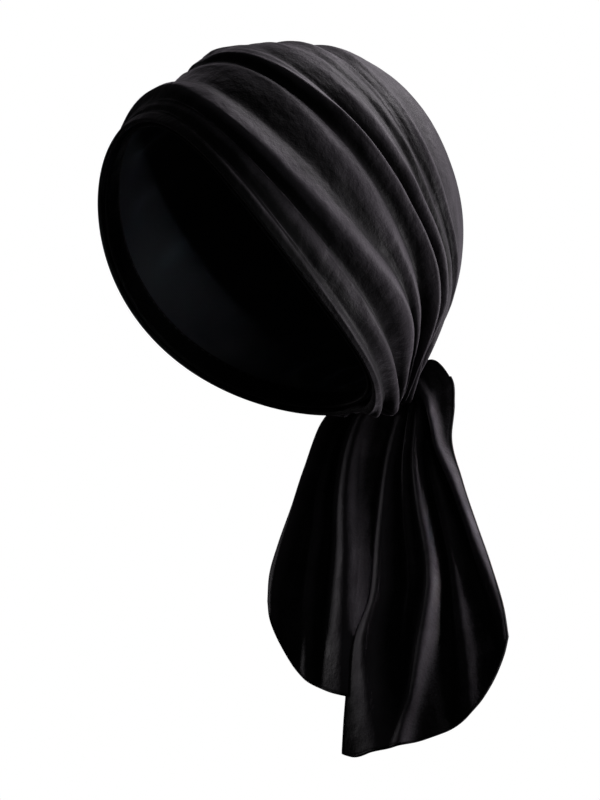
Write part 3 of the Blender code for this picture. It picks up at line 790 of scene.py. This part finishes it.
def floor_paint():
    """Return a pale matt paint that glows a little."""
    material, shader, wire = new_material("floor_paint")
    mottle = noise(texture_place(wire), 3.0, 2.0)
    greys = [(grey, grey, grey) for grey in FLOOR_GREYS]
    link(blend(mottle, *greys), shader.inputs["Base Color"])
    shader.inputs["Roughness"].default_value = 0.9
    shader.inputs["Emission Color"].default_value = (1, 1, 1, 1)
    shader.inputs["Emission Strength"].default_value = FLOOR_GLOW
    return material


# Paths and node groups

def path_object(name, points, closed):
    """Return a poly curve through the given points."""
    data = bpy.data.curves.new(name, "CURVE")
    data.dimensions = "3D"
    spline = data.splines.new("POLY")
    spline.points.add(len(points) - 1)
    flat = np.concatenate([points, np.ones((len(points), 1))], axis=1)
    spline.points.foreach_set("co", flat.ravel().tolist())
    spline.use_cyclic_u = closed
    item = bpy.data.objects.new(name, data)
    bpy.context.scene.collection.objects.link(item)
    return item


def socket_id(tree, name):
    """Return the identifier of a node group's input."""
    for socket in tree.interface.items_tree:
        if socket.item_type == "SOCKET" and socket.in_out == "INPUT" and socket.name == name:
            return socket.identifier
    raise KeyError(name)


def new_group(name, inputs):
    """Return a geometry node group with named inputs, its input node and its output node."""
    tree = bpy.data.node_groups.new(name, "GeometryNodeTree")
    tree.interface.new_socket("Geometry", in_out="INPUT", socket_type="NodeSocketGeometry")
    for label, kind, value in inputs:
        socket = tree.interface.new_socket(label, in_out="INPUT", socket_type=kind)
        if value is not None:
            socket.default_value = value
    tree.interface.new_socket("Geometry", in_out="OUTPUT", socket_type="NodeSocketGeometry")
    return tree, tree.nodes.new("NodeGroupInput"), tree.nodes.new("NodeGroupOutput")


def join(tree, *wires):
    """Link nodes; each wire is a node and its output, then a node and its input."""
    for source, output, target, entry in wires:
        tree.links.new(source.outputs[output], target.inputs[entry])


def end_group(tree, start, end, last, output):
    """End a node group: smooth what the last node gives, make copies real and set the material."""
    smooth = tree.nodes.new("GeometryNodeSetShadeSmooth")
    real = tree.nodes.new("GeometryNodeRealizeInstances")
    finish = tree.nodes.new("GeometryNodeSetMaterial")
    join(
        tree,
        (last, output, smooth, "Geometry"),
        (smooth, "Geometry", real, "Geometry"),
        (real, "Geometry", finish, "Geometry"),
        (start, "Finish", finish, "Material"),
        (finish, "Geometry", end, "Geometry"),
    )
    return tree


def roll_group():
    """Return the node group that sweeps a round roll along a path."""
    inputs = (("Radius", "NodeSocketFloat", 0.001), ("Finish", "NodeSocketMaterial", None))
    tree, start, end = new_group("Rolled hem", inputs)
    circle = tree.nodes.new("GeometryNodeCurvePrimitiveCircle")
    circle.inputs["Resolution"].default_value = HEM_SIDES
    sweep = tree.nodes.new("GeometryNodeCurveToMesh")
    sweep.inputs["Fill Caps"].default_value = True
    join(
        tree,
        (start, "Radius", circle, "Radius"),
        (start, "Geometry", sweep, "Curve"),
        (circle, "Curve", sweep, "Profile Curve"),
    )
    return end_group(tree, start, end, sweep, "Mesh")


def stitch_group():
    """Return the node group that lays short stitches along a path."""
    inputs = (
        ("Length", "NodeSocketFloat", 0.002),
        ("Spacing", "NodeSocketFloat", 0.004),
        ("Thickness", "NodeSocketFloat", 0.0006),
        ("Finish", "NodeSocketMaterial", None),
    )
    tree, start, end = new_group("Stitches", inputs)
    places = tree.nodes.new("GeometryNodeCurveToPoints")
    places.mode = "LENGTH"
    bead = tree.nodes.new("GeometryNodeMeshUVSphere")
    bead.inputs["Segments"].default_value = 8
    bead.inputs["Rings"].default_value = 6
    bead.inputs["Radius"].default_value = 0.5
    size = tree.nodes.new("ShaderNodeCombineXYZ")
    copies = tree.nodes.new("GeometryNodeInstanceOnPoints")
    join(
        tree,
        (start, "Geometry", places, "Curve"),
        (start, "Spacing", places, "Length"),
        (places, "Points", copies, "Points"),
        (places, "Rotation", copies, "Rotation"),
        (bead, "Mesh", copies, "Instance"),
        (start, "Thickness", size, "X"),
        (start, "Thickness", size, "Y"),
        (start, "Length", size, "Z"),
        (size, "Vector", copies, "Scale"),
    )
    return end_group(tree, start, end, copies, "Instances")


def run_group(item, tree, values):
    """Put a node group on a path, set its inputs and return the plain mesh that it makes."""
    modifier = item.modifiers.new(tree.name, "NODES")
    modifier.node_group = tree
    for name, value in values.items():
        modifier[socket_id(tree, name)] = value
    return make_plain(item)


# Settings

class HeadwrapCap(bpy.types.PropertyGroup):
    """Sizes of the folded cap."""

    wrinkle: bpy.props.FloatProperty(
        name="Wrinkle Depth", description="Depth of the fine wrinkles along the folds",
        default=0.0003, unit="LENGTH",
    )
    deeper: bpy.props.FloatProperty(
        name="Deeper Folds", description="How much deeper the folds are than those of the solid model",
        default=0.6, subtype="FACTOR",
    )
    lip: bpy.props.FloatProperty(
        name="Gather Lips", description="Height of the rounded fold ends beside the knot",
        default=0.0030, unit="LENGTH",
    )


class HeadwrapSewing(bpy.types.PropertyGroup):
    """Sizes of the hems and stitches."""

    roll: bpy.props.FloatProperty(
        name="Hem Roll", description="Radius of the rolled hem of the tails", default=0.0010, unit="LENGTH",
    )
    stitch: bpy.props.FloatProperty(
        name="Stitch Length", description="Length of one stitch", default=0.0024, unit="LENGTH",
    )
    spacing: bpy.props.FloatProperty(
        name="Stitch Spacing", description="Distance from stitch to stitch", default=0.0048, unit="LENGTH",
    )
    thread: bpy.props.FloatProperty(
        name="Thread", description="Thickness of the thread", default=0.0006, unit="LENGTH",
    )


class HeadwrapLook(bpy.types.PropertyGroup):
    """Colours of the cloths."""

    # The dark end: painted shade in the valleys of the folds, and the dark of the pile's random tone
    dark: bpy.props.FloatVectorProperty(
        name="Pile", description="Colour of the pile in the folds", subtype="COLOR",
        default=(0.0010, 0.0010, 0.0012),
    )
    # The light end: painted highlight on the crests, and the light of the brushed pile's random tone
    light: bpy.props.FloatVectorProperty(
        name="Brushed Pile", description="Colour of the pile on the crests", subtype="COLOR",
        default=(0.115, 0.104, 0.119),
    )
    tint: bpy.props.FloatVectorProperty(
        name="Sheen", description="Colour of the sheen", subtype="COLOR", default=(0.92, 0.86, 0.95),
    )
    sheen: bpy.props.FloatProperty(
        name="Sheen Weight", description="Strength of the sheen", default=0.27, subtype="FACTOR",
    )
    lining: bpy.props.FloatVectorProperty(
        name="Lining", description="Colour of the lining", subtype="COLOR", default=(0.034, 0.036, 0.042),
    )


class HeadwrapStage(bpy.types.PropertyGroup):
    """The stage and its lights."""

    floor: bpy.props.FloatProperty(
        name="Floor Drop", description="Height of the floor below the head hole",
        default=0.90, unit="LENGTH",
    )
    key: bpy.props.FloatProperty(
        name="Key Light", description="Power of the large light", default=25.0, unit="POWER",
    )
    rim: bpy.props.FloatProperty(
        name="Edge Light", description="Power of the light behind the cap", default=16.0, unit="POWER",
    )
    fill: bpy.props.FloatProperty(
        name="Fill Light", description="Power of the weak light above the camera",
        default=0.6, unit="POWER",
    )
    tails: bpy.props.FloatProperty(
        name="Tail Light", description="Power of the narrow light on the tails",
        default=0.08, unit="POWER",
    )
    left: bpy.props.FloatProperty(
        name="Left Light", description="Power of the narrow light behind the tails, on the left",
        default=0.014, unit="POWER",
    )
    hollow: bpy.props.FloatProperty(
        name="Hollow Light", description="Power of the narrow light that looks into the head hole",
        default=0.005, unit="POWER",
    )


class HeadwrapSettings(bpy.types.PropertyGroup):
    """All settings of the headwrap."""

    cap: bpy.props.PointerProperty(type=HeadwrapCap)
    sewing: bpy.props.PointerProperty(type=HeadwrapSewing)
    look: bpy.props.PointerProperty(type=HeadwrapLook)
    stage: bpy.props.PointerProperty(type=HeadwrapStage)


# Pieces

class HEADWRAP_OT_crown(bpy.types.Operator):
    """Build the pleated velvet cap."""

    bl_idname = "headwrap.crown"
    bl_label = "Pleated Cap"

    def execute(self, context):
        settings = context.scene.headwrap
        count = CROWN_COLUMNS
        around = columns(count)
        rise, height, line = fold_rows(around, FOLD_STEPS, BACK_STEPS)
        outer = cap_layer(around, (rise, height, line), 1.0, 0.0, settings.cap)
        pick = np.arange(0, len(rise), INNER_EVERY)
        inner = cap_layer(around, (rise[pick], height[pick], line[pick]), INNER_FOLLOW, WALL, settings.cap)
        rows, start = len(rise), len(outer)
        faces = loop_faces(rows, count) + fan_faces((rows - 1) * count, count, start - 1)
        faces += loop_faces(len(pick), count, start, True)
        faces += fan_faces(start + (len(pick) - 1) * count, count, start + len(inner) - 1, True)
        for column in range(count):
            after = (column + 1) % count
            faces.append((column, after, start + after, start + column))
        # crest is painted light for the velvet's colour: painted highlight on the fold crests, more on
        # higher folds, painted shade in the valleys, a painted highlight level on the smooth back and
        # painted shade on the inner side
        crest = on_crest(line) * np.clip(PAINTED_LIGHT_BASE + height / FOLD_HEIGHT, 0, 1)
        crest = crest + (BACK_PAINTED_LIGHT - crest) * ease((line - SMOOTH_LINE) / FADE_LINES)
        crest = np.concatenate([crest.ravel(), np.full(len(inner) + 1, INNER_PAINTED_LIGHT)])
        reach = (CAP_WIDTH + CAP_LENGTH) / 4 * np.sqrt(1 - rise)
        turn = math.pi * np.broadcast_to(around, rise.shape)
        nap = np.stack([reach * np.cos(turn), reach * np.sin(turn), rise * CAP_DEPTH * 2], -1)
        nap = np.concatenate([nap.reshape(-1, 3), np.full((len(inner) + 1, 3), (0, 0, CAP_DEPTH * 2))])
        material = velvet("crown_velvet", settings.look)
        values = {"crest": crest, "nap": nap}
        crown = add_object("crown_cap", np.concatenate([outer, inner]), faces, material, values)
        finish_piece(crown, "crown")
        return {"FINISHED"}


class HEADWRAP_OT_lining(bpy.types.Operator):
    """Build the thin inner cap that shows inside the head hole."""

    bl_idname = "headwrap.lining"
    bl_label = "Lining"

    def execute(self, context):
        around = columns(LINING_COLUMNS)
        edge = rise_at(around, LINING_EDGE)
        share = np.linspace(0, 1, LINING_ROWS, endpoint=False)[:, None] ** LINING_CROWDING
        rise = edge + (1 - edge) * share
        places = np.broadcast_to(around, rise.shape)
        past_band = np.clip((rise - rise_at(around, BAND_WIDTH)) / LINING_START, 0, 1)
        points, outward = dome(places, rise)
        fine = LINING_RIPPLE * (1 + ripples(places * 5.0, rise * 5.0, SEED + 1))
        depth = WALL + LAYER_GAP
        inward = depth + (crease_height(places, rise) + np.clip(fine, 0, None)) * past_band
        grid = to_world(points - outward * inward[..., None]).reshape(-1, 3)
        tip, tip_out = dome(np.array([1.0]), np.array([1.0]))
        vertices = np.concatenate([grid, to_world(tip - tip_out * depth)])
        faces = loop_faces(len(rise), LINING_COLUMNS)
        faces += fan_faces((len(rise) - 1) * LINING_COLUMNS, LINING_COLUMNS, len(grid))
        material = lining_cloth("lining_twill", tuple(context.scene.headwrap.look.lining))
        lining = wall(add_object("lining_cap", vertices, faces, material), LINING_WALL)
        finish_piece(lining, "lining")
        return {"FINISHED"}


class HEADWRAP_OT_hem_band(bpy.types.Operator):
    """Build the flat band sewn inside the rim."""

    bl_idname = "headwrap.hem_band"
    bl_label = "Hem Band"

    def execute(self, context):
        around = columns(BAND_COLUMNS)
        share = np.linspace(0, 1, BAND_ROWS)[:, None]
        rise = share * rise_at(around, BAND_WIDTH)
        points, outward = dome(np.broadcast_to(around, rise.shape), rise)
        uneven = 1 + 0.5 * ripples(around * 6.0, share * 0.5, SEED + 2)
        swell = BAND_SWELL * np.sin(math.pi * share) * uneven
        depth = WALL + LAYER_GAP + LINING_WALL + LAYER_GAP + np.clip(swell, 0, None)
        vertices = to_world(points - outward * depth[..., None]).reshape(-1, 3)
        # painted shade: the band is a darker copy of the cap's velvet
        material = velvet("hem_velvet", context.scene.headwrap.look, BAND_PAINTED_SHADE)
        band = add_object("hem_band_strip", vertices, loop_faces(BAND_ROWS, BAND_COLUMNS), material)
        finish_piece(wall(band, BAND_WALL), "hem_band")
        return {"FINISHED"}


class HEADWRAP_OT_knot(bpy.types.Operator):
    """Build the tied root of the tails, cloth wound round itself."""

    bl_idname = "headwrap.knot"
    bl_label = "Knot"

    def execute(self, context):
        mesh = bmesh.new()
        bmesh.ops.create_uvsphere(mesh, u_segments=KNOT_SEGMENTS, v_segments=KNOT_RINGS, radius=0.5)
        centre = knot_centre()
        crests = []
        for vertex in mesh.verts:
            x, p, q = vertex.co
            waist = 1 - KNOT_WAIST * math.exp(-((q / KNOT_WAIST_SPREAD) ** 2))
            wind = math.sin(KNOT_WINDS * math.atan2(p, x) + KNOT_TWIST * q) * (1 - abs(2 * q) ** 4)
            scale = waist * (1 + KNOT_WIND_HEIGHT * wind)
            # crests is painted light for the knot's colour: painted highlight on the winds, painted shade
            # between them
            crests.append(0.5 + 0.5 * wind)
            out = np.array([x * KNOT_WIDTH * scale, p * KNOT_DEPTH * scale, q * KNOT_LENGTH])
            vertex.co = to_world(centre + out)
        bmesh.ops.recalc_face_normals(mesh, faces=mesh.faces)
        mesh.verts.index_update()
        vertices = [vertex.co[:] for vertex in mesh.verts]
        faces = [[vertex.index for vertex in face.verts] for face in mesh.faces]
        mesh.free()
        material = velvet("knot_velvet", context.scene.headwrap.look)
        finish_piece(add_object("knot_wrap", vertices, faces, material, {"crest": crests}), "knot")
        return {"FINISHED"}


class HEADWRAP_OT_tails(bpy.types.Operator):
    """Build the two loose tails."""

    bl_idname = "headwrap.tails"
    bl_label = "Tails"

    def execute(self, context):
        down = np.linspace(0, 1, TAIL_ROWS) ** TAIL_CROWDING
        across, down = np.meshgrid(np.linspace(0, 1, TAIL_COLUMNS), down)
        row, column = np.meshgrid(np.arange(TAIL_ROWS - 1), np.arange(TAIL_COLUMNS - 1), indexing="ij")
        low = row * TAIL_COLUMNS + column
        quads = np.stack([low, low + 1, low + 1 + TAIL_COLUMNS, low + TAIL_COLUMNS], -1).reshape(-1, 4)
        for tail in TAILS:
            vertices = tail_points(tail, across, down).reshape(-1, 3)
            # crest is painted light: painted highlight along the ridges of the fanned folds, painted shade
            # in their valleys
            crest = TAIL_PAINTED_LIGHT + (1 - TAIL_PAINTED_LIGHT) * fan_height(tail, across, down) / FAN_HEIGHT
            nap = np.stack([down * tail.length, np.zeros(across.shape), across * TAIL_WIDTH], -1)
            values = {"crest": np.clip(crest, 0, 1).ravel(), "nap": nap}
            material = velvet(tail.name + "_velvet", context.scene.headwrap.look)
            faces = quads[:, :: tail.side].tolist()
            item = add_object(tail.name + "_cloth", vertices, faces, material, values)
            finish_piece(wall(item, TAIL_WALL, 0), tail.name)
        return {"FINISHED"}


class HEADWRAP_OT_hems(bpy.types.Operator):
    """Build the rolled hems of the tails."""

    bl_idname = "headwrap.hems"
    bl_label = "Rolled Hems"

    def execute(self, context):
        settings = context.scene.headwrap
        tree = roll_group()
        for tail in TAILS:
            name = tail.name + "_hem"
            # painted shade: the rolled hems are a slightly darker copy of the velvet
            material = velvet(name + "_velvet", settings.look, HEM_PAINTED_SHADE)
            path = path_object(name, tail_edge(tail), False)
            hem = run_group(path, tree, {"Radius": settings.sewing.roll, "Finish": material})
            finish_piece(hem, None)
        return {"FINISHED"}


class HEADWRAP_OT_stitches(bpy.types.Operator):
    """Build the stitches that hold the hem band to the lining."""

    bl_idname = "headwrap.stitches"
    bl_label = "Stitches"

    def execute(self, context):
        sewing = context.scene.headwrap.sewing
        around = columns(STITCH_COLUMNS)
        points, outward = dome(around, rise_at(around, BAND_WIDTH - STITCH_INSET))
        depth = WALL + LAYER_GAP + LINING_WALL + LAYER_GAP + BAND_WALL
        path = path_object("hem_stitches", to_world(points - outward * depth), True)
        material = thread("hem_thread", THREAD_COLOR)
        values = {"Length": sewing.stitch, "Spacing": sewing.spacing, "Thickness": sewing.thread}
        stitches = run_group(path, stitch_group(), {**values, "Finish": material})
        finish_piece(stitches, None)
        return {"FINISHED"}


# Stage

def camera_axes():
    """Return the directions to the camera, to the right of the picture and up it."""
    level = Vector((math.sin(CAMERA_AZIMUTH), -math.cos(CAMERA_AZIMUTH), 0))
    toward = level * math.cos(CAMERA_ELEVATION) + Vector((0, 0, math.sin(CAMERA_ELEVATION)))
    right = Vector((math.cos(CAMERA_AZIMUTH), math.sin(CAMERA_AZIMUTH), 0))
    return toward, right, toward.cross(right)


def add_camera(toward, right, up):
    """Add the camera and look through it."""
    data = bpy.data.cameras.new("camera")
    data.sensor_width = 36.0
    data.lens = CAMERA_FOCAL / FRAME_HEIGHT * data.sensor_width
    data.clip_start, data.clip_end = 0.05, 50.0
    camera = bpy.data.objects.new("camera", data)
    look = -toward * CAMERA_FOCAL + right * CAMERA_AIM[0] + up * CAMERA_AIM[1]
    back = -look.normalized()
    side = (right - back * right.dot(back)).normalized()
    turn = Matrix((side, back.cross(side), back)).transposed()
    camera.matrix_world = Matrix.Translation(toward * CAMERA_DISTANCE) @ turn.to_4x4()
    bpy.context.scene.collection.objects.link(camera)
    bpy.context.scene.camera = camera


def add_light(lamp, place, power):
    """Add a soft square light that faces its target."""
    data = bpy.data.lights.new(lamp.name, "AREA")
    data.shape = "RECTANGLE"
    data.size = data.size_y = lamp.size
    data.energy = power
    data.spread = math.radians(lamp.spread)
    data.color = lamp.color
    light = bpy.data.objects.new(lamp.name, data)
    light.location = place
    light.rotation_mode = "QUATERNION"
    light.rotation_quaternion = (lamp.target - place).to_track_quat("-Z", "Y")
    bpy.context.scene.collection.objects.link(light)


def add_world():
    """Add a world that is white to the camera and casts little light."""
    world = bpy.data.worlds.new("studio")
    bpy.context.scene.world = world
    world.use_nodes = True
    tree = world.node_tree
    tree.nodes.clear()
    wire = Wire(tree)
    seen = wire.add("ShaderNodeLightPath", {}, {}, "Is Camera Ray")
    white = wire.add("ShaderNodeBackground", {}, {"Color": (1, 1, 1, 1), "Strength": 1.0})
    dim = wire.add("ShaderNodeBackground", {}, {"Color": (1, 1, 1, 1), "Strength": WORLD_LIGHT})
    both = wire.add("ShaderNodeMixShader", {}, {0: seen, 1: dim, 2: white})
    link(both, tree.nodes.new("ShaderNodeOutputWorld").inputs["Surface"])


class HEADWRAP_OT_stage(bpy.types.Operator):
    """Set the floor, the lights and the camera."""

    bl_idname = "headwrap.stage"
    bl_label = "Stage"

    def execute(self, context):
        stage = context.scene.headwrap.stage
        toward, right, up = camera_axes()
        add_camera(toward, right, up)
        turns = np.linspace(0, 2 * math.pi, FLOOR_SIDES, endpoint=False)
        edge = [(FLOOR_RADIUS * math.cos(a), FLOOR_RADIUS * math.sin(a), -stage.floor) for a in turns]
        floor = add_object("floor", edge, [tuple(range(FLOOR_SIDES))], floor_paint())
        floor.visible_diffuse = False
        floor.visible_glossy = False
        for lamp in LIGHTS:
            beside, above, near = lamp.place
            place = MIDDLE + right * beside + up * above + toward * near
            add_light(lamp, place, getattr(stage, lamp.name))
        add_world()
        context.scene.view_settings.view_transform = "Standard"
        return {"FINISHED"}


class HEADWRAP_OT_sheets(bpy.types.Operator):
    bl_idname = "headwrap.sheets"
    bl_label = "Cut Sizes"

    def execute(self, context):
        return {"FINISHED"}


class HEADWRAP_PT_panel(bpy.types.Panel):
    """The headwrap's settings and steps."""

    bl_label = "Headwrap"
    bl_idname = "HEADWRAP_PT_panel"
    bl_space_type = "VIEW_3D"
    bl_region_type = "UI"
    bl_category = "Headwrap"

    def draw(self, context):
        settings = context.scene.headwrap
        for group in (settings.cap, settings.sewing, settings.look, settings.stage):
            box = self.layout.box()
            for key in group.bl_rna.properties.keys():
                if key not in {"rna_type", "name"}:
                    box.prop(group, key)
        for step in STEPS:
            self.layout.operator(step.bl_idname)


GROUPS = (HeadwrapCap, HeadwrapSewing, HeadwrapLook, HeadwrapStage, HeadwrapSettings)
STEPS = (
    HEADWRAP_OT_crown,
    HEADWRAP_OT_lining,
    HEADWRAP_OT_hem_band,
    HEADWRAP_OT_knot,
    HEADWRAP_OT_tails,
    HEADWRAP_OT_hems,
    HEADWRAP_OT_stitches,
    HEADWRAP_OT_sheets,
    HEADWRAP_OT_stage,
)


def register():
    """Register the classes and the settings."""
    for cls in (*GROUPS, *STEPS, HEADWRAP_PT_panel):
        bpy.utils.register_class(cls)
    bpy.types.Scene.headwrap = bpy.props.PointerProperty(type=HeadwrapSettings)


def unregister():
    """Take the classes and the settings away."""
    del bpy.types.Scene.headwrap
    for cls in reversed((*GROUPS, *STEPS, HEADWRAP_PT_panel)):
        bpy.utils.unregister_class(cls)


def main():
    """Register the add-on and run its steps."""
    register()
    for step in STEPS:
        name = step.bl_idname.split(".")[1]
        if getattr(bpy.ops.headwrap, name)() != {"FINISHED"}:
            raise RuntimeError(step.bl_label)


if __name__ == "__main__":
    main()
